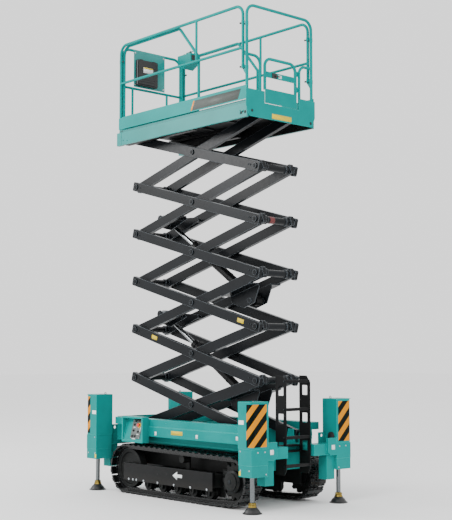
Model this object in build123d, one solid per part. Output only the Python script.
"""Tracked scissor lift with four levelling jacks, a sliding deck and a swing gate.

Millimetres. +X is forward, +Y is the machine's left and +Z is up. The origin is on the
ground under the middle of the chassis. The lift stands partly raised, as REST_ANGLE says.
"""
from math import acos, atan2, cos, degrees, hypot, pi, radians, sin
import os

from build123d import *

# ---- driving dimensions ----------------------------------------------------------------
SEAT = 0.3  # gap between pieces that rest on each other

# Scissor stack
STAGES = 6
ARM_LENGTH = 2208.0  # pin to pin
REST_ANGLE = 15.29  # of every arm from level
FOLDED_ANGLE = 4.335  # of every arm when the lift is down
BASE_PIN_Z = 753.0  # height of the lowest pins
REAR_PIN_X = -1036.0  # the fixed pins of chassis and platform
ARM_DEPTH = 110.0
ARM_WIDTH = 50.0
ARM_END = 62.0  # arm beyond its last pin
ARM_CORNER = 12.0
OUTER_ARM_FACE = 298.0  # half width over the outer arms
ARM_SIDE_GAP = 7.0  # between an outer arm and the inner arm beside it
PIN_R = 22.0
PIN_PLAY = 0.5  # radial
PIN_HEAD_R = 31.0
PIN_HEAD_T = 12.0
HEAD_PLAY = 1.0
CROSS_TUBE_R = 38.0
COLLAR_R = 50.0
COLLAR_T = 48.0
CLEVIS_T = 15.0  # pin plates of chassis and platform
CLEVIS_PLAY = 4.0

# Rollers of the sliding ends
ROLLER_R = 44.0
ROLLER_W = 40.0
ROLLER_GAP = 5.0  # to the flanges and the web
CHANNEL_WALL = 8.0
CHANNEL_PLAY = 18.0  # from the outer arm to the channel
CHANNEL_REAR_X = -60.0

# Lift cylinders
FOOT_ALONG = 364.0  # barrel pin from the inner arm's upper pin, along the arm
FOOT_DROP = 200.0  # barrel pin under the arm's centre line
EYE_ALONG = 262.0  # rod pin from the inner arm's lower pin, along the arm
EYE_RISE = 115.0  # rod pin over the arm's centre line
BARREL_R = 48.0
BARREL_LEN = 1270.0
BORE_BOTTOM = 68.0  # from the foot pin
ROD_START = 304.0  # inner end of the rod from the foot pin
ROD_R = 25.0
GLAND_R = 55.0
GLAND_LEN = 60.0
CYL_PIN_R = 30.0
EYE_R = 52.0
EYE_W = 84.0
BRACKET_T = 10.0
BRACKET_Y = 100.0  # outside face of the cylinder side plates
FLANGE_T = 12.0
SPACER_R = 22.0

# Platform
PLAT_REAR_X = -1148.0
PLAT_FRONT_X = 1107.0
EXT_FRONT_X = 1212.0
PLAT_HALF_W = 520.0
SIDE_RAIL_H = 150.0
SIDE_RAIL_DROP = 86.6  # bottom of the side rail under the top pins
SIDE_RAIL_T = 40.0
TOE_H = 150.0
GROOVE_H = 45.0
GROOVE_DEPTH = 25.0
FLOOR_T = 8.0
FLOOR_LIFT = 20.0  # floor sheet over the top of the side rails
FLOOR_BEAM_H = 20.0
SHEET = 4.0
PLATE_T = 6.0
RAIL_R = 17.0
MID_RAIL_R = 15.5
POST_R = 14.5
HALF_HOOP_R = 16.0
RAIL_TOP_Z = 1240.0  # top rail centre over the bottom of the side rail
RAIL_MID_Z = 770.0
RAIL_BEND_R = 110.0
RAIL_STANDOFF = 2.0  # from a panel to a rail tube
GUARD_REAR_X = PLAT_REAR_X + 78.0
GUARD_FRONT_X = PLAT_FRONT_X + 40.0
GUARD_MID_X = -288.0
SOCKET_Z = 570.0  # foot of the rear guard post over the bottom of the side rail
EXT_GAP = 6.0  # from the sliding deck to the side rails
EXT_REAR_X = -300.0
EXT_RAIL_GAP = 60.0  # inner frames from the platform's side
EXT_RAIL_DROP = 10.0  # under the outer top rail

# Gate
GATE_HINGE_Y = -270.0
GATE_STILE_Y = -240.0
GATE_FREE_Y = 232.0
GATE_TOP_Z = 690.0  # over the bottom of the side rail
GATE_LOW_Z = 340.0
GATE_PIN_R = 6.0
GATE_BEND_R = 90.0
KNUCKLE_H = 40.0
HALF_HOOP_Y = 302.0
PANEL_H = 300.0
PANEL_SILL = 130.0  # depth of the gate opening in the panel

# Chassis
DECK_REAR_X = -1157.0
DECK_FRONT_X = 1250.0
BEAM_FRONT_X = 1140.0
SILL_REAR_X = -1045.0
SILL_FRONT_X = 1000.0
DECK_HALF_W = 560.0
DECK_TOP_Z = 870.0
DECK_LIP_Z = 790.0
DECK_BOTTOM_Z = 675.0
DECK_BEAM_W = 120.0
DECK_LIP_OUT = 8.0
WEB_T = 10.0
PAN_TOP_Z = 605.0
PAN_BOTTOM_Z = 560.0
REAR_SILL_Z = 655.0
VALANCE_Z = 380.0
VALANCE_Y = 300.0
PACK_BOTTOM_Z = 300.0
PACK_HALF_W = 330.0
AXLE_H = 100.0

# Ground control
HOOD_REAR_X = 475.0
HOOD_FRONT_X = 872.0
HOOD_DEPTH = 95.0
HOOD_TRACK_GAP = 30.0
HOOD_TOP_Z = 895.0
HOOD_RIM = 20.0
HOOD_SILL = 28.0
HOOD_R = 30.0

# Tracks
TRACK_OUT_Y = 610.0
TRACK_W = 240.0
TRACK_R = 285.0  # over the pads at the idler and the last roller
IDLER_X = 870.0
SPROCKET_X = -952.0
SPROCKET_Z = 280.0
SPROCKET_R = 263.0  # over the pads
LAST_ROLLER_X = -620.0
PAD_COUNT = 52
PAD_LEN = 94.0
PAD_T = 14.0
GROUSER_H = 12.0
GROUSER_LEN = 36.0  # across its top
CHAIN_W = 90.0
CHAIN_T = 36.0
PAD_SINK = 3.0
ROLLER_COUNT = 5
ROLLER_PITCH = 270.0
TRACK_ROLLER_R = 62.0
TRACK_AXLE_R = 16.0
CARRIER_R = 42.0
CARRIER_X = -85.0
TOOTH_COUNT = 14
TOOTH_H = 34.0
HUB_R = 118.0
FRAME_W = 130.0
FRAME_PLATE = 14.0
COVER_REAR_X = -681.0
COVER_FRONT_X = 900.0
COVER_Z = (156.0, 352.0)
COVER_OUT_Y = 600.0

# Jacks
JACK_X = 1356.0
JACK_Y = 632.0
JACK_BOX_X = 200.0
JACK_BOX_Y = 228.0
JACK_BOTTOM_Z = 372.0
JACK_SEAM_Z = 489.0
JACK_COVER_Z = 655.0
JACK_TOP_Z = 1130.0
JACK_COVER_OUT = 4.0
JACK_COVER_R = 40.0
JACK_ARM_Z = 535.0
JACK_ARM_HALF = 70.0
JACK_ARM_ROOT_Y = 200.0
JACK_ROD_OUT = 15.0  # rod outward of the housing's middle
JACK_ROD_R = 24.5
JACK_ROD_TOP_Z = 720.0
JACK_STROKE_Z = 1080.0
JACK_FOOT_R = 100.0
LUG_HOLE_R = 18.0
LUG_HOLE_Y = 450.0
LUG_HOLE_Z = 735.0
LUG_T = 12.0

# Ladder
LADDER_X = -1385.0
LADDER_DEPTH = 160.0
LADDER_HALF_W = 184.0
LADDER_T = 8.0
LADDER_Z = (350.0, 1390.0)
RUNG_COUNT = 4
RUNG_PITCH = 296.0
RUNG_FIRST_Z = 442.0
RUNG_H = 30.0
WINDOW_X = 78.0
WINDOW_H = 105.0

LEFT, RIGHT = 1, -1
SIDES = (("left", LEFT), ("right", RIGHT))

# ---- derived places --------------------------------------------------------------------
STAGE_H = ARM_LENGTH * sin(radians(REST_ANGLE))
FRONT_PIN_X = REAR_PIN_X + ARM_LENGTH * cos(radians(REST_ANGLE))
MID_PIN_X = (REAR_PIN_X + FRONT_PIN_X) / 2
FOLDED_PIN_X = REAR_PIN_X + ARM_LENGTH * cos(radians(FOLDED_ANGLE))
OUTER_ARM_Y = OUTER_ARM_FACE - ARM_WIDTH / 2
OUTER_CLEAR_Y = OUTER_ARM_FACE - ARM_WIDTH
INNER_ARM_FACE = OUTER_CLEAR_Y - ARM_SIDE_GAP
INNER_ARM_Y = INNER_ARM_FACE - ARM_WIDTH / 2
INNER_CLEAR_Y = INNER_ARM_FACE - ARM_WIDTH
TOP_PIN_Z = BASE_PIN_Z + STAGES * STAGE_H
CHANNEL_IN_Y = OUTER_ARM_FACE + CHANNEL_PLAY
ROLLER_Y = CHANNEL_IN_Y + ROLLER_GAP
WEB_Y = ROLLER_Y + ROLLER_W + ROLLER_GAP
CHANNEL_OUT_Y = WEB_Y + CHANNEL_WALL
CHANNEL_HALF_H = ROLLER_R + ROLLER_GAP + CHANNEL_WALL
CHANNEL_FRONT_X = FOLDED_PIN_X + ROLLER_R + 7
DECK_INNER_Y = DECK_HALF_W - DECK_BEAM_W
PLAT_Z = TOP_PIN_Z - SIDE_RAIL_DROP  # bottom of the side rails
RAIL_TOP = PLAT_Z + SIDE_RAIL_H
TOE_LOW_Z = RAIL_TOP + GROOVE_H
TOE_TOP_Z = TOE_LOW_Z + TOE_H
FLOOR_Z = RAIL_TOP + FLOOR_LIFT
EXT_Z = FLOOR_Z + FLOOR_T + SEAT
TOP_RAIL_Z = PLAT_Z + RAIL_TOP_Z
MID_RAIL_Z = PLAT_Z + RAIL_MID_Z
EXT_RAIL_Z = TOP_RAIL_Z - EXT_RAIL_DROP
GUARD_Y = PLAT_HALF_W - RAIL_R
HOOP_Y = GUARD_Y - SHEET - 0.6
EXT_RAIL_Y = PLAT_HALF_W - EXT_RAIL_GAP
GATE_X = PLAT_REAR_X + SHEET + RAIL_STANDOFF + RAIL_R
GATE_HINGE_Z = (PLAT_Z + 410, PLAT_Z + 590)
TRACK_Y = TRACK_OUT_Y - TRACK_W / 2
PAD_H = PAD_T + GROUSER_H
CHAIN_DEPTH = PAD_H + CHAIN_T  # from the pads' tops to the inside of the chain
PITCH_DEPTH = PAD_H + CHAIN_T / 2 - 4
WHEEL_GAP = 0.3
FLOOR_LINE_Z = CHAIN_DEPTH + WHEEL_GAP  # lowest line that the rollers run on


# ---- drawing aids ----------------------------------------------------------------------
def level_z(level):
    """Height of the end pins at a level, 0 at the chassis and STAGES at the platform."""
    return BASE_PIN_Z + level * STAGE_H


def write(name, shape):
    shape.label = name
    export_step(shape, f"parts/{name}.step")


def box(x0, x1, y0, y1, z0, z1):
    """A block between two corners."""
    size = (abs(x1 - x0), abs(y1 - y0), abs(z1 - z0))
    middle = ((x0 + x1) / 2, (y0 + y1) / 2, (z0 + z1) / 2)
    return Pos(*middle) * Box(*size)


def rod_y(x, z, radius, y0, y1):
    """A round bar across the machine."""
    return Pos(x, (y0 + y1) / 2, z) * Rot(90, 0, 0) * Cylinder(radius, abs(y1 - y0))


def rod_z(x, y, radius, z0, z1):
    """An upright round bar."""
    return Pos(x, y, (z0 + z1) / 2) * Cylinder(radius, abs(z1 - z0))


def plate_xz(points, y0, y1):
    """A plate across Y from its outline in X and Z."""
    plane = Plane(origin=(0, min(y0, y1), 0), x_dir=(1, 0, 0), z_dir=(0, -1, 0))
    outline = make_face(Polyline(*points, close=True))
    return extrude(plane * outline, abs(y1 - y0), dir=(0, 1, 0))


def section_x(points, side, x0, x1):
    """A bar along X from its section in Y and Z, drawn for the left side."""
    plane = Plane(origin=(min(x0, x1), 0, 0), x_dir=(0, 1, 0), z_dir=(1, 0, 0))
    outline = make_face(Polyline(*[(side * y, z) for y, z in points], close=True))
    return extrude(plane * outline, abs(x1 - x0), dir=(1, 0, 0))


def turned_y(x, z, profile, side):
    """A piece turned about a line across the machine, from its radii and its Y places."""
    outline = make_face(Polyline(*[(radius, side * y) for radius, y in profile], close=True))
    return Pos(x, 0, z) * revolve(outline, Axis.Y, 360)


def pipe(points, bends, radius=RAIL_R):
    """A bent round tube through corner points, each with its own bend radius."""
    if len(points) == 2:
        path = Line(*points)
    else:
        path = FilletPolyline(*points, radius=bends)
    start = Plane(origin=path @ 0, z_dir=path % 0)
    return sweep(start * Circle(radius), path=path)


def joined(pieces):
    """Pieces of one node: fused where they touch, separate solids where they don't."""
    first, *rest = pieces
    return first.fuse(*rest).clean() if rest else first


def both_sides(shape):
    """A shape of the left side and its mirror image on the right."""
    return joined([shape, mirror(shape, Plane.XZ)])


# ---- scissor stack ---------------------------------------------------------------------
def arm_frame(lower, upper):
    """Unit vectors along an arm from its lower to its upper pin, and square to it, up."""
    along = ((upper[0] - lower[0]) / ARM_LENGTH, (upper[1] - lower[1]) / ARM_LENGTH)
    up = (-along[1], along[0]) if along[0] > 0 else (along[1], -along[0])
    return along, up


def point_on(start, along, up, distance, offset):
    """The point a distance along an arm from a pin and an offset above its centre line."""
    x = start[0] + distance * along[0] + offset * up[0]
    z = start[1] + distance * along[1] + offset * up[1]
    return x, z


def arm_bar(lower, upper, y_mid):
    """One rectangular arm with its end corners cut."""
    angle = REST_ANGLE if upper[0] > lower[0] else -REST_ANGLE
    middle = ((lower[0] + upper[0]) / 2, (lower[1] + upper[1]) / 2)
    bar = Box(ARM_LENGTH + 2 * ARM_END, ARM_WIDTH, ARM_DEPTH)
    bar = chamfer(bar.edges().filter_by(Axis.Y), ARM_CORNER)
    return Pos(middle[0], y_mid, middle[1]) * Rot(0, -angle, 0) * bar


def sliding_end(pin, radius, y_root, side):
    """Stub axle and roller of an arm's sliding end."""
    axle = rod_y(*pin, radius, side * y_root, side * ROLLER_Y)
    return [axle, rod_y(*pin, ROLLER_R, side * ROLLER_Y, side * (ROLLER_Y + ROLLER_W))]


def outer_arms(stage):
    """The outer pair of a stage: from the rear pin below to the front pin above."""
    lower = (REAR_PIN_X, level_z(stage - 1))
    upper = (FRONT_PIN_X, level_z(stage))
    middle = (MID_PIN_X, level_z(stage - 0.5))
    bores = [lower, middle] if stage == STAGES else [lower, middle, upper]
    arms = []
    for _, side in SIDES:
        arm = arm_bar(lower, upper, side * OUTER_ARM_Y)
        for pin in bores:
            arm -= rod_y(*pin, PIN_R + PIN_PLAY, side * INNER_ARM_FACE, side * (OUTER_ARM_FACE + HEAD_PLAY))
        arms.append(arm)
        if stage == STAGES:
            arms += sliding_end(upper, PIN_R, OUTER_ARM_Y, side)
    return joined(arms)


def inner_arms(stage):
    """The inner pair of a stage: from the front pin below to the rear pin above."""
    lower = (FRONT_PIN_X, level_z(stage - 1))
    upper = (REAR_PIN_X, level_z(stage))
    pins = [(MID_PIN_X, level_z(stage - 0.5))]
    tubes = [lower]
    if stage > 1:
        pins.append(lower)
    if stage < STAGES:
        pins.append(upper)
        tubes.append(upper)
    head = OUTER_ARM_FACE + HEAD_PLAY
    pieces = []
    for _, side in SIDES:
        arm = arm_bar(lower, upper, side * INNER_ARM_Y)
        if stage == STAGES:
            arm -= rod_y(*upper, PIN_R + PIN_PLAY, side * (INNER_CLEAR_Y - 10), side * (INNER_ARM_FACE + 10))
        pieces.append(arm)
        for pin in pins:
            pieces.append(rod_y(*pin, PIN_R, side * INNER_ARM_Y, side * (head + PIN_HEAD_T)))
            pieces.append(rod_y(*pin, PIN_HEAD_R, side * head, side * (head + PIN_HEAD_T)))
        if stage == 1:
            pieces += sliding_end(lower, PIN_R, INNER_ARM_Y, side)
        for pin in tubes:
            pieces.append(rod_y(*pin, COLLAR_R, side * (INNER_CLEAR_Y - COLLAR_T), side * INNER_ARM_Y))
    for pin in tubes:
        pieces.append(rod_y(*pin, CROSS_TUBE_R, -INNER_ARM_Y, INNER_ARM_Y))
    along, up = arm_frame(lower, upper)
    if stage in (1, 3):
        pieces += barrel_bracket(upper, along, up)
    if stage in (3, 5):
        pieces += rod_bracket(lower, along, up)
    return joined(pieces)


def arm_plate(start, along, up, outline, y0, y1, side):
    """A plate between two Y places from its outline in arm coordinates."""
    points = [point_on(start, along, up, distance, offset) for distance, offset in outline]
    return plate_xz(points, side * y0, side * y1)


def barrel_bracket(upper, along, up):
    """Deep side plates hung under the arms on flanges, with the pin that carries the barrel."""
    seat = -ARM_DEPTH / 2
    # distance from the upper pin, offset above the arm's centre line
    outline = ((-179, seat), (-656, seat), (-656, -147), (-480, -250), (-299, -243), (-179, -94))
    flange = ((-179, seat + 3), (-656, seat + 3), (-656, seat - FLANGE_T), (-179, seat - FLANGE_T))
    inside = BRACKET_Y - BRACKET_T
    pieces = []
    for _, side in SIDES:
        pieces.append(arm_plate(upper, along, up, outline, inside, BRACKET_Y, side))
        pieces.append(arm_plate(upper, along, up, flange, inside, INNER_ARM_FACE, side))
    foot = point_on(upper, along, up, -FOOT_ALONG, -FOOT_DROP)
    end = BRACKET_Y + PIN_HEAD_T
    pieces.append(rod_y(*foot, CYL_PIN_R, -end, end))
    return pieces


def rod_bracket(lower, along, up):
    """Side plates on spacers with two stub pins, one each side of the rod's eye."""
    # distance from the lower pin, offset above the arm's centre line
    outline = (
        (222, 70),
        (222, 140),
        (245, 162),
        (280, 162),
        (345, 108),
        (736, -20),
        (736, -63),
        (427, -90),
        (300, -20),
    )
    spacers = ((420, -15), (660, -30))
    eye = point_on(lower, along, up, EYE_ALONG, EYE_RISE)
    pieces = []
    for _, side in SIDES:
        pieces.append(arm_plate(lower, along, up, outline, BRACKET_Y - BRACKET_T, BRACKET_Y, side))
        pieces.append(rod_y(*eye, CYL_PIN_R, side * (EYE_W / 2 + 6), side * (BRACKET_Y + PIN_HEAD_T)))
        for distance, offset in spacers:
            place = point_on(lower, along, up, distance, offset)
            pieces.append(rod_y(*place, SPACER_R, side * (BRACKET_Y - BRACKET_T / 2), side * INNER_ARM_Y))
    return pieces


def cylinder_ends(stage):
    """Barrel pin on a stage's inner arms and rod pin on those two stages up."""
    upper = (REAR_PIN_X, level_z(stage))
    lower = (FRONT_PIN_X, level_z(stage - 1))
    along, up = arm_frame(lower, upper)
    foot = point_on(upper, along, up, -FOOT_ALONG, -FOOT_DROP)
    next_lower = (FRONT_PIN_X, level_z(stage + 1))
    eye = point_on(next_lower, along, up, EYE_ALONG, EYE_RISE)
    return foot, eye


def cylinder_axis(stage):
    """Plane at the barrel pin, square to the cylinder, with its X across the machine."""
    foot, eye = cylinder_ends(stage)
    return Plane(
        origin=(foot[0], 0, foot[1]),
        x_dir=(0, 1, 0),
        z_dir=(eye[0] - foot[0], 0, eye[1] - foot[1]),
    )


def barrel(stage):
    """Barrel with its foot eye, gland nut and oil port."""
    axis = cylinder_axis(stage)
    foot, _ = cylinder_ends(stage)
    # radius, distance from the foot pin
    profile = (
        (ROD_R + PIN_PLAY, BORE_BOTTOM),
        (ROD_R + PIN_PLAY, BARREL_LEN),
        (GLAND_R, BARREL_LEN),
        (GLAND_R, BARREL_LEN - GLAND_LEN),
        (BARREL_R, BARREL_LEN - GLAND_LEN),
        (BARREL_R, 0),
        (0, 0),
        (0, BORE_BOTTOM),
    )
    outline = make_face(Polyline(*profile, close=True))
    tube = axis * (Rot(90, 0, 0) * revolve(outline, Axis.Y, 360))
    port = axis * Pos(0, BARREL_R + 8, BARREL_LEN - 100) * Box(50, 50, 46)
    eye = rod_y(*foot, EYE_R + 6, -EYE_W / 2, EYE_W / 2)
    return joined([tube, port, eye]) - rod_y(*foot, CYL_PIN_R + PIN_PLAY, -EYE_W, EYE_W)


def piston_rod(stage):
    """Rod with its eye; the middle of the eye's pin stays with it."""
    axis = cylinder_axis(stage)
    foot, eye = cylinder_ends(stage)
    length = hypot(eye[0] - foot[0], eye[1] - foot[1])
    rod = axis * Pos(0, 0, (ROD_START + length) / 2) * Cylinder(ROD_R, length - ROD_START)
    return joined([rod, rod_y(*eye, EYE_R, -EYE_W / 2, EYE_W / 2)])


# ---- tracks ----------------------------------------------------------------------------
# x, z and radius over the pads of the circles that the loop lies on, in order round it
LOOP_CIRCLES = (
    (IDLER_X, TRACK_R, TRACK_R),
    (SPROCKET_X, SPROCKET_Z, SPROCKET_R),
    (LAST_ROLLER_X, TRACK_R, TRACK_R),
)


def run_angle(first, second):
    """Outward direction, in degrees, of the straight run from one circle to the next."""
    dx = second[0] - first[0]
    dz = second[1] - first[1]
    return degrees(atan2(dz, dx) - acos((first[2] - second[2]) / hypot(dx, dz)))


def loop_arcs(depth):
    """Centre, radius, start angle and swept angle of each arc, a depth inside the pads' tops."""
    count = len(LOOP_CIRCLES)
    arcs = []
    for n, circle in enumerate(LOOP_CIRCLES):
        start = run_angle(LOOP_CIRCLES[n - 1], circle)
        sweep_angle = (run_angle(circle, LOOP_CIRCLES[(n + 1) % count]) - start) % 360
        arcs.append(((circle[0], circle[1]), circle[2] - depth, start, sweep_angle))
    return arcs


def on_circle(centre, radius, angle):
    """The point of a circle at an angle in degrees."""
    return (
        centre[0] + radius * cos(radians(angle)),
        centre[1] + radius * sin(radians(angle)),
    )


def loop_face(depth):
    """Face inside the loop at a depth under the pads' tops, in X and Z."""
    arcs = loop_arcs(depth)
    edges = []
    for n, (centre, radius, start, swept) in enumerate(arcs):
        next_centre, next_radius, next_start, _ = arcs[(n + 1) % len(arcs)]
        edges.append(CenterArc((*centre, 0), radius, start, swept))
        leaving = on_circle(centre, radius, start + swept)
        arriving = on_circle(next_centre, next_radius, next_start)
        edges.append(Line(leaving, arriving))
    return make_face(edges)


def loop_places(count, depth):
    """Evenly spaced points round the loop, each with its outward direction in degrees."""
    arcs = loop_arcs(depth)
    runs = []
    for n, (centre, radius, start, swept) in enumerate(arcs):
        next_centre, next_radius, next_start, _ = arcs[(n + 1) % len(arcs)]
        end = on_circle(centre, radius, start + swept)
        far = on_circle(next_centre, next_radius, next_start)
        straight = hypot(far[0] - end[0], far[1] - end[1])
        runs.append((centre, radius, start, swept, end, far, straight))
    total = sum(radians(run[3]) * run[1] + run[6] for run in runs)
    places = []
    for k in range(count):
        distance = (k + 0.5) * total / count
        for centre, radius, start, swept, end, far, straight in runs:
            arc = radians(swept) * radius
            if distance <= arc:
                angle = start + degrees(distance / radius)
                places.append((on_circle(centre, radius, angle), angle))
                break
            if distance <= arc + straight:
                share = (distance - arc) / straight
                point = (end[0] + share * (far[0] - end[0]), end[1] + share * (far[1] - end[1]))
                places.append((point, start + swept))
                break
            distance -= arc + straight
    return places


def track():
    """Left track: link chain with its shoes, each a pad with one raised grouser."""
    half = PAD_LEN / 2
    low = PITCH_DEPTH - PAD_H  # pad's underside over the pitch line
    base = low + PAD_T
    top = low + PAD_H
    flank = GROUSER_LEN / 2
    shoe = make_face(
        Polyline(
            (-half, low - PAD_SINK),
            (-half, base),
            (-flank - 6, base),
            (-flank, top),
            (flank, top),
            (flank + 6, base),
            (half, base),
            (half, low - PAD_SINK),
            close=True,
        )
    )
    across = Plane(origin=(0, TRACK_Y, 0), x_dir=(1, 0, 0), z_dir=(0, -1, 0))
    chain = extrude(across * (loop_face(PAD_H) - loop_face(CHAIN_DEPTH)), CHAIN_W / 2, both=True)
    shoes = []
    for (x, z), angle in loop_places(PAD_COUNT, PITCH_DEPTH):
        shoes.append(extrude(across * Pos(x, z) * Rot(0, 0, angle - 90) * shoe, TRACK_W / 2, both=True))
    return chain.fuse(*shoes)


def top_run_z(x):
    """Height of the pads' tops over a place on the upper run."""
    arcs = loop_arcs(0)
    front = on_circle(arcs[0][0], arcs[0][1], arcs[0][2] + arcs[0][3])
    rear = on_circle(arcs[1][0], arcs[1][1], arcs[1][2])
    share = (x - rear[0]) / (front[0] - rear[0])
    return rear[1] + share * (front[1] - rear[1])


def roller_xs():
    """Places of the track rollers; the last one ends the flat run."""
    return [LAST_ROLLER_X + 60 + n * ROLLER_PITCH for n in range(ROLLER_COUNT)]


def sprocket_disc(radius):
    """Toothed disc that fills the chain's end loop, in the middle of the chain."""
    root = radius - TOOTH_H
    disc = Circle(root)
    step = 360 / TOOTH_COUNT
    foot = radians(step * 0.36)
    tip = radians(step * 0.2)
    tooth = make_face(
        Polyline(
            (root * cos(foot) - 4, -root * sin(foot)),
            (radius * cos(tip), -radius * sin(tip)),
            (radius * cos(tip), radius * sin(tip)),
            (root * cos(foot) - 4, root * sin(foot)),
            close=True,
        )
    )
    outline = disc.fuse(*[Rot(0, 0, n * step) * tooth for n in range(TOOTH_COUNT)])
    across = Plane(origin=(SPROCKET_X, TRACK_Y, SPROCKET_Z), x_dir=(1, 0, 0), z_dir=(0, -1, 0))
    return extrude(across * outline.face(), CHAIN_W / 4, both=True)


def running_gear():
    """Left idler, sprocket with its hub, carrier roller and track rollers."""
    inside = TRACK_Y - CHAIN_W / 2 + 1
    outside = TRACK_Y + CHAIN_W / 2 - 1
    rim = TRACK_R - CHAIN_DEPTH - WHEEL_GAP
    idler = (
        (0, inside),
        (rim, inside),
        (rim, outside),
        (rim - 34, outside),
        (rim - 46, outside - 22),
        (70, outside - 22),
        (58, outside + 12),
        (0, outside + 12),
    )
    hub = (
        (0, TRACK_Y - CHAIN_W / 2),
        (HUB_R, TRACK_Y - CHAIN_W / 2),
        (HUB_R, TRACK_Y + 70),
        (HUB_R - 26, TRACK_Y + 84),
        (HUB_R - 26, TRACK_Y + 100),
        (44, TRACK_Y + 106),
        (0, TRACK_Y + 106),
    )
    roller = (
        (0, inside),
        (TRACK_ROLLER_R, inside),
        (TRACK_ROLLER_R, inside + 24),
        (TRACK_ROLLER_R - 10, inside + 28),
        (TRACK_ROLLER_R - 10, outside - 28),
        (TRACK_ROLLER_R, outside - 24),
        (TRACK_ROLLER_R, outside),
        (0, outside),
    )
    pieces = [turned_y(IDLER_X, TRACK_R, idler, LEFT)]
    pieces.append(rod_y(IDLER_X, TRACK_R, CYL_PIN_R, TRACK_Y - 62, TRACK_Y + 62))
    pieces.append(sprocket_disc(SPROCKET_R - CHAIN_DEPTH - WHEEL_GAP))
    pieces.append(turned_y(SPROCKET_X, SPROCKET_Z, hub, LEFT))
    for x in roller_xs():
        z = FLOOR_LINE_Z + TRACK_ROLLER_R
        pieces.append(turned_y(x, z, roller, LEFT))
        pieces.append(rod_y(x, z, TRACK_AXLE_R, TRACK_Y - 63, TRACK_Y + 63))
    carrier_z = top_run_z(CARRIER_X) - CHAIN_DEPTH - WHEEL_GAP - CARRIER_R
    pieces.append(rod_y(CARRIER_X, carrier_z, CARRIER_R, inside, outside))
    pieces.append(rod_y(CARRIER_X, carrier_z, TRACK_AXLE_R, TRACK_Y - 63, outside))
    return joined(pieces)


def track_frame():
    """Left track beam over its rollers, with roller hangers, idler fork and motor mount."""
    inner = TRACK_Y - FRAME_W / 2 + 5
    outer = inner + FRAME_W
    axle_z = FLOOR_LINE_Z + TRACK_ROLLER_R
    beam_z = (190, 330)
    rear = LAST_ROLLER_X - 55
    pieces = [box(rear, 600, inner, outer, *beam_z)]
    for y in (inner, outer - FRAME_PLATE):
        fork = ((560, 236), (IDLER_X + 48, 240), (IDLER_X + 48, beam_z[1]), (560, beam_z[1]))
        pieces.append(plate_xz(fork, y, y + FRAME_PLATE))
        for x in roller_xs():
            hanger = (
                (x - 44, beam_z[0] + 2),
                (x - 26, axle_z - 20),
                (x - 14, axle_z - 32),
                (x + 14, axle_z - 32),
                (x + 26, axle_z - 20),
                (x + 44, beam_z[0] + 2),
            )
            pieces.append(plate_xz(hanger, y, y + FRAME_PLATE))
    pieces.append(box(SPROCKET_X - 70, rear + 10, TRACK_Y - CHAIN_W, inner + 4, beam_z[0], 380))
    guard_top = beam_z[1] - 4
    pieces.append(box(rear - 20, 620, inner - 10, inner + 1, 80, guard_top))
    carrier_z = top_run_z(CARRIER_X) - CHAIN_DEPTH - WHEEL_GAP - CARRIER_R
    pieces.append(box(CARRIER_X - 30, CARRIER_X + 30, inner - 8, inner + FRAME_PLATE, 300, carrier_z + 26))
    frame = joined(pieces)
    for x in roller_xs():
        frame -= rod_y(x, axle_z, TRACK_AXLE_R + SEAT, inner - 20, outer + 10)
    frame -= rod_y(IDLER_X, TRACK_R, CYL_PIN_R + SEAT, inner - 20, outer + 10)
    frame -= rod_y(CARRIER_X, carrier_z, TRACK_AXLE_R + SEAT, inner - 20, outer)
    frame -= rod_y(SPROCKET_X, SPROCKET_Z, HUB_R + SEAT, inner - 8, outer + 10)
    return frame


def side_cover():
    """Left cover over the track rollers: folded sheet with closed ends, open below."""
    z0, z1 = COVER_Z
    inside = TRACK_Y + FRAME_W / 2 + 5 + SEAT
    fold = (
        (inside, z1 - PLATE_T),
        (COVER_OUT_Y - PLATE_T, z1 - PLATE_T),
        (COVER_OUT_Y - PLATE_T, z0),
        (COVER_OUT_Y, z0),
        (COVER_OUT_Y, z1),
        (inside, z1),
    )
    pieces = [section_x(fold, LEFT, COVER_REAR_X, COVER_FRONT_X)]
    for x in (COVER_REAR_X, COVER_FRONT_X - PLATE_T):
        pieces.append(box(x, x + PLATE_T, inside, COVER_OUT_Y, z0 + 44, z1))
    return joined(pieces)


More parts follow.
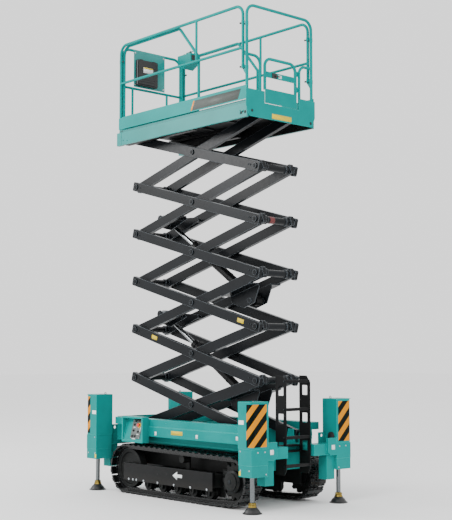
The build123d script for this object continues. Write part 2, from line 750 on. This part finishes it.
# ---- chassis ---------------------------------------------------------------------------
def deck_frame():
    """Rectangular deck: lipped side beams, inner side plates, end plates and pin plates."""
    face = DECK_HALF_W - DECK_LIP_OUT
    beam = (
        (DECK_INNER_Y, DECK_BOTTOM_Z),
        (DECK_HALF_W, DECK_BOTTOM_Z),
        (DECK_HALF_W, DECK_LIP_Z - DECK_LIP_OUT),
        (face, DECK_LIP_Z),
        (face, DECK_TOP_Z),
        (DECK_INNER_Y, DECK_TOP_Z),
    )
    side_plate_y = DECK_INNER_Y - WEB_T
    floor = PAN_TOP_Z + SEAT
    pieces = [section_x(beam, LEFT, DECK_REAR_X, BEAM_FRONT_X)]
    for x0, x1 in ((DECK_REAR_X, SILL_REAR_X), (SILL_FRONT_X, BEAM_FRONT_X)):
        pieces[0] -= box(x0, x1, DECK_INNER_Y, DECK_HALF_W, DECK_BOTTOM_Z, DECK_LIP_Z)
    pieces.append(box(DECK_REAR_X, DECK_FRONT_X, side_plate_y, DECK_INNER_Y, floor, DECK_TOP_Z))
    for y in (OUTER_ARM_FACE + CLEVIS_PLAY, OUTER_CLEAR_Y - CLEVIS_PLAY - CLEVIS_T):
        cheek = (
            (REAR_PIN_X - 66, floor),
            (REAR_PIN_X + 80, floor),
            (REAR_PIN_X + 38, BASE_PIN_Z + 50),
            (REAR_PIN_X - 38, BASE_PIN_Z + 50),
        )
        pieces.append(plate_xz(cheek, y, y + CLEVIS_T))
    pin_ends = (OUTER_CLEAR_Y - CLEVIS_PLAY - CLEVIS_T, OUTER_ARM_FACE + CLEVIS_PLAY + CLEVIS_T)
    pieces.append(rod_y(REAR_PIN_X, BASE_PIN_Z, PIN_R, *pin_ends))
    pieces.append(box(REAR_PIN_X - 66, REAR_PIN_X + 80, pin_ends[0], side_plate_y, floor, floor + 45))
    left = joined(pieces)
    front = box(DECK_FRONT_X - WEB_T, DECK_FRONT_X, -DECK_INNER_Y, DECK_INNER_Y, floor, DECK_TOP_Z)
    rear = box(DECK_REAR_X, DECK_REAR_X + WEB_T, -DECK_INNER_Y, DECK_INNER_Y, PAN_BOTTOM_Z, REAR_SILL_Z)
    return joined([left, mirror(left, Plane.XZ), front, rear])


def roller_channels(z_mid, z_top, x0, reach):
    """Pair of C channels for the sliding ends, open inwards, up to a height or out to a wall."""
    low = z_mid - CHANNEL_HALF_H
    high = z_mid + CHANNEL_HALF_H
    section = [
        (CHANNEL_IN_Y, low),
        (reach, low),
        (reach, low + CHANNEL_WALL),
        (CHANNEL_OUT_Y, low + CHANNEL_WALL),
        (CHANNEL_OUT_Y, z_top),
        (CHANNEL_IN_Y, z_top),
        (CHANNEL_IN_Y, high - CHANNEL_WALL),
        (WEB_Y, high - CHANNEL_WALL),
        (WEB_Y, low + CHANNEL_WALL),
        (CHANNEL_IN_Y, low + CHANNEL_WALL),
    ]
    if reach == CHANNEL_OUT_Y:
        del section[2:4]
    return both_sides(section_x(section, LEFT, x0, CHANNEL_FRONT_X))


def lower_body():
    """Pan between the tracks with the rear valance."""
    x0 = DECK_REAR_X + WEB_T + SEAT
    over_track = TRACK_OUT_Y - TRACK_W - 10
    half_pan = (
        (0, PAN_TOP_Z),
        (DECK_INNER_Y, PAN_TOP_Z),
        (DECK_INNER_Y, PAN_TOP_Z - 15),
        (over_track, PAN_TOP_Z - 22),
        (over_track - 20, PAN_BOTTOM_Z),
        (0, PAN_BOTTOM_Z),
    )
    body = both_sides(section_x(half_pan, LEFT, x0, DECK_FRONT_X))
    valance = box(x0, x0 + 85, -VALANCE_Y, VALANCE_Y, VALANCE_Z, PAN_BOTTOM_Z + 1)
    lower_edges = valance.edges().filter_by(Axis.X).sort_by(Axis.Z)[:2]
    return joined([body, chamfer(lower_edges, 40)])


def power_pack():
    """Battery and motor block between the tracks."""
    block = box(-620, 1050, -PACK_HALF_W, PACK_HALF_W, PACK_BOTTOM_Z, PAN_BOTTOM_Z - SEAT)
    return chamfer(block.edges().filter_by(Axis.X).sort_by(Axis.Z)[:2], 30)


def axle_beams():
    """Two beams that join the side beams of the tracks under the body."""
    reach = TRACK_Y - FRAME_W / 2 - 5 - SEAT
    top = PACK_BOTTOM_Z - SEAT
    beams = [box(x - 60, x + 60, -reach, reach, top - AXLE_H, top) for x in (-480, 480)]
    return joined(beams)


def ground_control():
    """Hooded box at the left of the deck with a sloped panel in its mouth."""
    y0 = DECK_HALF_W + SEAT
    y1 = DECK_HALF_W + HOOD_DEPTH
    z0, z1 = 2 * TRACK_R + HOOD_TRACK_GAP, HOOD_TOP_Z
    shell = box(HOOD_REAR_X, HOOD_FRONT_X, y0, y1, z0, z1)
    shell = fillet(shell.edges().filter_by(Axis.Y).sort_by(Axis.Z)[-2:], HOOD_R)
    mouth = (
        (y1 + 1, z0 + HOOD_SILL),
        (y1 - 10, z0 + HOOD_SILL),
        (y1 - 75, z1 - HOOD_RIM),
        (y1 + 1, z1 - HOOD_RIM),
    )
    return shell - section_x(mouth, LEFT, HOOD_REAR_X + HOOD_RIM, HOOD_FRONT_X - HOOD_RIM)


def jack_housing(front, side):
    """Jack housing with its cover, its arm to the chassis, lug, end plate and knee."""
    x = front * JACK_X
    y = side * JACK_Y
    half_x = JACK_BOX_X / 2
    half_y = JACK_BOX_Y / 2
    wall_y = JACK_Y - half_y
    pieces = []
    # how far each height band stands out, from z, to z
    bands = (
        (-2, JACK_BOTTOM_Z, JACK_SEAM_Z),
        (0, JACK_SEAM_Z, JACK_COVER_Z),
        (JACK_COVER_OUT, JACK_COVER_Z, JACK_TOP_Z),
    )
    for out, z0, z1 in bands:
        dx = half_x + out
        dy = half_y + out
        band = box(x - dx, x + dx, y - dy, y + dy, z0, z1)
        outer = Vector(x + front * dx, y + side * dy, (z0 + z1) / 2)
        corner = band.edges().filter_by(Axis.Z).sort_by(lambda edge: (edge.center() - outer).length)
        pieces.append(fillet(corner[0], JACK_COVER_R if out > 0 else 8))
    chassis_side = x - front * JACK_ARM_HALF
    arm_y = (side * JACK_ARM_ROOT_Y, side * (wall_y + 1))
    pieces.append(box(chassis_side, x + front * JACK_ARM_HALF, *arm_y, JACK_ARM_Z, JACK_COVER_Z))
    pieces.append(box(x - 60, x + 60, side * (wall_y - 118), arm_y[1], 270, JACK_ARM_Z + 1))
    lug = (
        (wall_y - 118, JACK_COVER_Z - 1),
        (wall_y + 1, JACK_COVER_Z - 1),
        (wall_y + 1, JACK_COVER_Z + 80),
        (wall_y - 35, JACK_COVER_Z + 115),
        (wall_y - 118, JACK_COVER_Z + 115),
    )
    pieces.append(section_x(lug, side, chassis_side, chassis_side + front * LUG_T))
    end_plate = (
        (wall_y - 133, JACK_ARM_Z + 30),
        (wall_y - 98, JACK_ARM_Z - 5),
        (wall_y + 1, JACK_ARM_Z - 5),
        (wall_y + 1, JACK_COVER_Z + 60),
        (wall_y - 133, JACK_COVER_Z + 60),
    )
    pieces.append(section_x(end_plate, side, x + front * (half_x - 32), x + front * half_x))
    deck_end = DECK_FRONT_X + SEAT if front > 0 else DECK_REAR_X - SEAT
    link_z = (JACK_ARM_Z + 40, JACK_COVER_Z - 5)
    pieces.append(box(chassis_side, deck_end, arm_y[0], side * (JACK_ARM_ROOT_Y + 100), *link_z))
    solid = joined(pieces)
    bore = rod_z(x, y + side * JACK_ROD_OUT, JACK_ROD_R + PIN_PLAY, JACK_BOTTOM_Z - 10, JACK_STROKE_Z)
    hole_y = side * LUG_HOLE_Y
    hole = Pos(chassis_side, hole_y, LUG_HOLE_Z) * Rot(0, 90, 0) * Cylinder(LUG_HOLE_R, 3 * LUG_T)
    return solid - bore - hole


def jack_rod(front, side):
    """Jack rod with its collar and flared foot."""
    # radius, height
    profile = (
        (0, 0),
        (JACK_FOOT_R, 0),
        (JACK_FOOT_R, 8),
        (JACK_FOOT_R - 12, 12),
        (JACK_FOOT_R - 30, 40),
        (46, 62),
        (40, 88),
        (34, 92),
        (34, 110),
        (JACK_ROD_R, 116),
        (JACK_ROD_R, JACK_ROD_TOP_Z),
        (0, JACK_ROD_TOP_Z),
    )
    outline = make_face(Polyline(*profile, close=True))
    rod = Rot(90, 0, 0) * revolve(outline, Axis.Y, 360)
    return Pos(front * JACK_X, side * (JACK_Y + JACK_ROD_OUT), 0) * rod


def ladder():
    """Two windowed side plates with four rungs and two stays to the deck."""
    x0 = LADDER_X
    x1 = LADDER_X + LADDER_DEPTH
    z0, z1 = LADDER_Z
    outline = (
        (x0 + 30, z0),
        (x1, z0),
        (x1, z1),
        (x0 + 55, z1),
        (x0, z1 - 70),
        (x0, z0 + 50),
    )
    middle = (x0 + x1) / 2
    pieces = []
    for _, side in SIDES:
        plate = plate_xz(outline, side * (LADDER_HALF_W - LADDER_T), side * LADDER_HALF_W)
        for n in range(RUNG_COUNT - 1):
            z = RUNG_FIRST_Z + n * RUNG_PITCH + 200
            window = Pos(middle, side * LADDER_HALF_W, z) * Box(WINDOW_X, 4 * LADDER_T, WINDOW_H)
            plate -= fillet(window.edges().filter_by(Axis.Y), 8)
        pieces.append(plate)
    for n in range(RUNG_COUNT):
        z = RUNG_FIRST_Z + n * RUNG_PITCH
        pieces.append(box(x0 + 8, x0 + 48, -LADDER_HALF_W, LADDER_HALF_W, z - RUNG_H / 2, z + RUNG_H / 2))
    for z in (570, 630):
        pieces.append(box(x1 - LADDER_T, DECK_REAR_X - SEAT, -LADDER_HALF_W, LADDER_HALF_W, z, z + 20))
    return joined(pieces)


# ---- platform --------------------------------------------------------------------------
def platform_frame():
    """Floor, side rails with their groove, floor beams and rear pin plates."""
    x0 = PLAT_REAR_X + SHEET + SEAT
    inner = PLAT_HALF_W - SIDE_RAIL_T
    web = PLAT_HALF_W - GROOVE_DEPTH
    rail = (
        (inner, PLAT_Z),
        (PLAT_HALF_W, PLAT_Z),
        (PLAT_HALF_W, RAIL_TOP),
        (web, RAIL_TOP),
        (web, TOE_LOW_Z),
        (inner, TOE_LOW_Z),
    )
    left = section_x(rail, LEFT, x0, PLAT_FRONT_X)
    # x, height over the rail's bottom, half length, half height of the slots
    slots = ((-1042, 60, 5, 26), (-1086, 62, 13, 13), (990, 40, 7, 7), (1071, 53, 7, 7))
    for x, rise, half_x, half_z in slots:
        cut = Pos(x, PLAT_HALF_W, PLAT_Z + rise) * Box(2 * half_x, 24, 2 * half_z)
        left -= fillet(cut.edges().filter_by(Axis.Y), min(half_x, half_z) - 0.5)
    pin_plates = (INNER_ARM_FACE + CLEVIS_PLAY, INNER_CLEAR_Y - CLEVIS_PLAY - FLANGE_T)
    pieces = [left]
    for y in pin_plates:
        cheek = (
            (REAR_PIN_X - 80, FLOOR_Z + 1),
            (REAR_PIN_X - 34, TOP_PIN_Z - 40),
            (REAR_PIN_X + 34, TOP_PIN_Z - 40),
            (REAR_PIN_X + 90, FLOOR_Z + 1),
        )
        pieces.append(plate_xz(cheek, y, y + FLANGE_T))
    pieces.append(rod_y(REAR_PIN_X, TOP_PIN_Z, PIN_R, pin_plates[1], pin_plates[0] + FLANGE_T))
    sides = both_sides(joined(pieces))
    floor = box(x0, PLAT_FRONT_X, -inner - 1, inner + 1, FLOOR_Z, FLOOR_Z + FLOOR_T)
    beams = []
    for x in (-700, -250, 250, 700):
        low_z = FLOOR_Z - FLOOR_BEAM_H
        beams.append(box(x - 20, x + 20, -INNER_ARM_FACE, INNER_ARM_FACE, low_z, FLOOR_Z + 1))
    return joined([sides, floor, *beams])


def rear_guard():
    """Rear panel with the gate opening, the tall hoop, the half hoops and the post brackets."""
    z0 = PLAT_Z + 10
    z1 = z0 + PANEL_H
    sill = z1 - PANEL_SILL
    half = PLAT_HALF_W + 12
    cut_left = GATE_FREE_Y + 23
    cut_right = GATE_HINGE_Y - 5
    outline = (
        (-half, z0 + 110),
        (-half + 50, z0),
        (half - 50, z0),
        (half, z0 + 110),
        (half, z1),
        (cut_left, z1),
        (cut_left, sill),
        (cut_right, sill),
        (cut_right, z1),
        (-half, z1),
    )
    pieces = [section_x(outline, LEFT, PLAT_REAR_X, PLAT_REAR_X + SHEET)]
    x = GATE_X
    foot_z = TOE_LOW_Z + 5
    hoop = [(x, HOOP_Y, foot_z), (x, HOOP_Y, TOP_RAIL_Z), (x, -HOOP_Y, TOP_RAIL_Z), (x, -HOOP_Y, foot_z)]
    pieces.append(pipe(hoop, [RAIL_BEND_R, RAIL_BEND_R]))
    z_top = PLAT_Z + GATE_TOP_Z
    for _, side in SIDES:
        inner = [(x, side * HOOP_Y, z_top), (x, side * HALF_HOOP_Y, z_top), (x, side * HALF_HOOP_Y, foot_z)]
        pieces.append(pipe(inner, [GATE_BEND_R], HALF_HOOP_R))
        for y in (HOOP_Y, HALF_HOOP_Y):
            for z in (foot_z + 12, z1 - 50):
                pieces.append(box(PLAT_REAR_X + SHEET / 2, x, side * y - 9, side * y + 9, z, z + 30))
        post_top = PLAT_Z + SOCKET_Z
        bracket = (
            (x, post_top),
            (GUARD_REAR_X + RAIL_R, post_top),
            (GUARD_REAR_X + RAIL_R, post_top - 24),
            (x, post_top - 130),
        )
        pieces.append(plate_xz(bracket, side * HOOP_Y - 4, side * HOOP_Y + 4))
    for z in GATE_HINGE_Z:
        half_h = KNUCKLE_H / 2 + SEAT
        pieces.append(rod_z(x, GATE_HINGE_Y, GATE_PIN_R, z - half_h - PLATE_T, z + half_h + PLATE_T))
        for low in (z - half_h - PLATE_T, z + half_h):
            pieces.append(box(x - 4, x + 4, -HALF_HOOP_Y, GATE_HINGE_Y + 5, low, low + PLATE_T))
    return joined(pieces)


def gate():
    """Swing gate: bent frame, mid bar, toe panel and two hinge knuckles."""
    x = GATE_X
    z_low = PLAT_Z + GATE_LOW_Z
    z_top = PLAT_Z + GATE_TOP_Z
    corners = [
        (x, GATE_FREE_Y, z_low),
        (x, GATE_FREE_Y, z_top),
        (x, GATE_STILE_Y, z_top),
        (x, GATE_STILE_Y, z_low),
    ]
    toe_y = (GATE_STILE_Y, GATE_FREE_Y + 16)
    pieces = [
        pipe(corners, [GATE_BEND_R, GATE_BEND_R]),
        box(x - 3, x + 3, GATE_STILE_Y, GATE_FREE_Y, PLAT_Z + 480, PLAT_Z + 545),
        box(PLAT_REAR_X, PLAT_REAR_X + SHEET, *toe_y, PLAT_Z + 186, PLAT_Z + 345),
        box(PLAT_REAR_X + SHEET / 2, x, *toe_y, z_low - 4, z_low + 4),
    ]
    for z in GATE_HINGE_Z:
        pieces.append(rod_z(x, GATE_HINGE_Y, GATE_PIN_R + 4, z - KNUCKLE_H / 2, z + KNUCKLE_H / 2))
        pieces.append(box(x - 4, x + 4, GATE_HINGE_Y, GATE_STILE_Y, z - KNUCKLE_H / 2, z + KNUCKLE_H / 2))
    solid = joined(pieces)
    for z in GATE_HINGE_Z:
        solid -= rod_z(x, GATE_HINGE_Y, GATE_PIN_R + SEAT, z - KNUCKLE_H, z + KNUCKLE_H)
    return solid


def side_guard():
    """Left toe board and outer guard frame of the fixed part of the platform."""
    y = GUARD_Y
    x0 = PLAT_REAR_X + SHEET + SEAT
    toe = box(x0, PLAT_FRONT_X - 10, PLAT_HALF_W - SHEET, PLAT_HALF_W, TOE_LOW_Z + SEAT, TOE_TOP_Z)
    foot_z = (TOE_LOW_Z + SEAT, TOE_TOP_Z - 10)
    foot = box(PLAT_FRONT_X - 40, GUARD_FRONT_X + RAIL_R, y - 4, PLAT_HALF_W - 1, *foot_z)
    frame = [
        (GUARD_REAR_X, y, PLAT_Z + SOCKET_Z + SEAT),
        (GUARD_REAR_X, y, TOP_RAIL_Z),
        (GUARD_FRONT_X, y, TOP_RAIL_Z),
        (GUARD_FRONT_X, y, TOE_TOP_Z - 60),
    ]
    pieces = [toe, foot, pipe(frame, [RAIL_BEND_R, RAIL_BEND_R])]
    pieces.append(pipe([(GUARD_REAR_X, y, MID_RAIL_Z), (GUARD_FRONT_X, y, MID_RAIL_Z)], [], MID_RAIL_R))
    pieces.append(pipe([(GUARD_MID_X, y, MID_RAIL_Z), (GUARD_MID_X, y, TOP_RAIL_Z)], [], POST_R))
    return joined(pieces)


def extension_deck():
    """Sliding deck plate with its side plates, front plate and front corner caps."""
    half = PLAT_HALF_W - SIDE_RAIL_T - EXT_GAP
    pieces = [box(EXT_REAR_X, EXT_FRONT_X, -half, half, EXT_Z, EXT_Z + PLATE_T)]
    cap_x = PLAT_FRONT_X + EXT_GAP
    for _, side in SIDES:
        inner = side * (half - PLATE_T)
        pieces.append(box(EXT_REAR_X, EXT_FRONT_X, inner, side * half, EXT_Z, TOE_TOP_Z))
        pieces.append(box(cap_x, EXT_FRONT_X, inner, side * half, PLAT_Z, EXT_Z + 1))
        cap = box(cap_x, EXT_FRONT_X, side * (half - 1), side * PLAT_HALF_W, PLAT_Z, RAIL_TOP + 5)
        outer = cap.edges().filter_by(Axis.Z).sort_by(Axis.X)[-2:].sort_by(Axis.Y)[-1 if side > 0 else 0]
        pieces.append(fillet(outer, 20))
    pieces.append(box(EXT_FRONT_X - PLATE_T, EXT_FRONT_X, -half, half, EXT_Z, TOE_TOP_Z))
    return joined(pieces)


def extension_rails():
    """Inner side frames and front hoop that travel with the sliding deck."""
    y = EXT_RAIL_Y
    foot = TOE_TOP_Z + SEAT
    front = PLAT_FRONT_X + 30
    hoop_x = front + 2 * RAIL_R + 1
    mid = MID_RAIL_Z - 20
    frame = [
        (GUARD_MID_X + 8, y, foot),
        (GUARD_MID_X + 8, y, MID_RAIL_Z + 60),
        (60, y, EXT_RAIL_Z),
        (front, y, EXT_RAIL_Z),
        (front, y, foot),
    ]
    pieces = []
    for _, side in SIDES:
        pieces.append(pipe([(x, side * w, z) for x, w, z in frame], [40, 60, RAIL_BEND_R]))
        for z in (mid - 100, foot + 60):
            pieces.append(box(front, hoop_x, side * y - 6, side * y + 6, z, z + 60))
    hoop = [(hoop_x, y, foot), (hoop_x, y, EXT_RAIL_Z), (hoop_x, -y, EXT_RAIL_Z), (hoop_x, -y, foot)]
    pieces.append(pipe(hoop, [RAIL_BEND_R, RAIL_BEND_R]))
    pieces.append(pipe([(hoop_x, -y, mid), (hoop_x, y, mid)], [], MID_RAIL_R))
    for post_y in (307, -237):
        pieces.append(pipe([(hoop_x, post_y, foot), (hoop_x, post_y, mid)], [], POST_R))
    return joined(pieces)


def document_case():
    """Board on the front frame with the case for the papers."""
    x = PLAT_FRONT_X + 30 + RAIL_R + SEAT
    board = box(x - 3, x, -186, 303, PLAT_Z + 770, PLAT_Z + 1230)
    case = box(x - 48, x - 2, -40, 276, PLAT_Z + 790, PLAT_Z + 1115)
    case = fillet(case.edges().filter_by(Axis.X), 14)
    return joined([board, case])


def platform_control():
    """Control box on the right inner rail with a sloped underside and its lever guard."""
    y = -(EXT_RAIL_Y - RAIL_R - SEAT)
    top = EXT_RAIL_Z
    section = (
        (760, top - 4),
        (1010, top - 4),
        (1010, top - 104),
        (900, top - 184),
        (760, top - 114),
    )
    body = plate_xz(section, y, y + 160)
    guard = pipe(
        [(800, y + 60, top - 10), (800, y + 60, top + 46), (960, y + 60, top + 46), (960, y + 60, top - 10)],
        [20, 20],
        6,
    )
    return joined([body, guard])


def main():
    os.makedirs("parts", exist_ok=True)
    write("deck_frame", deck_frame())
    deck_reach = DECK_INNER_Y - WEB_T - SEAT
    base_z = (BASE_PIN_Z, BASE_PIN_Z + CHANNEL_HALF_H)
    write("roller_channels", roller_channels(*base_z, CHANNEL_REAR_X, deck_reach))
    write("lower_body", lower_body())
    write("power_pack", power_pack())
    write("axle_beams", axle_beams())
    write("ground_control", ground_control())
    write("ladder", ladder())
    left_sides = {
        "track": track(),
        "running_gear": running_gear(),
        "track_frame": track_frame(),
        "side_cover": side_cover(),
        "side_guard": side_guard(),
    }
    for name, shape in left_sides.items():
        write(f"{name}_left", shape)
        write(f"{name}_right", mirror(shape, Plane.XZ))
    for side_name, side in SIDES:
        for end, front in (("front", 1), ("rear", -1)):
            write(f"jack_housing_{end}_{side_name}", jack_housing(front, side))
            write(f"jack_rod_{end}_{side_name}", jack_rod(front, side))
    for stage in range(1, STAGES + 1):
        write(f"outer_arms_{stage}", outer_arms(stage))
        write(f"inner_arms_{stage}", inner_arms(stage))
    for name, stage in (("lower", 1), ("upper", 3)):
        write(f"barrel_{name}", barrel(stage))
        write(f"piston_rod_{name}", piston_rod(stage))
    write("platform_frame", platform_frame())
    write("platform_channels", roller_channels(TOP_PIN_Z, FLOOR_Z - SEAT, CHANNEL_REAR_X - 20, CHANNEL_OUT_Y))
    write("rear_guard", rear_guard())
    write("gate", gate())
    write("extension_deck", extension_deck())
    write("extension_rails", extension_rails())
    write("document_case", document_case())
    write("platform_control", platform_control())


main()
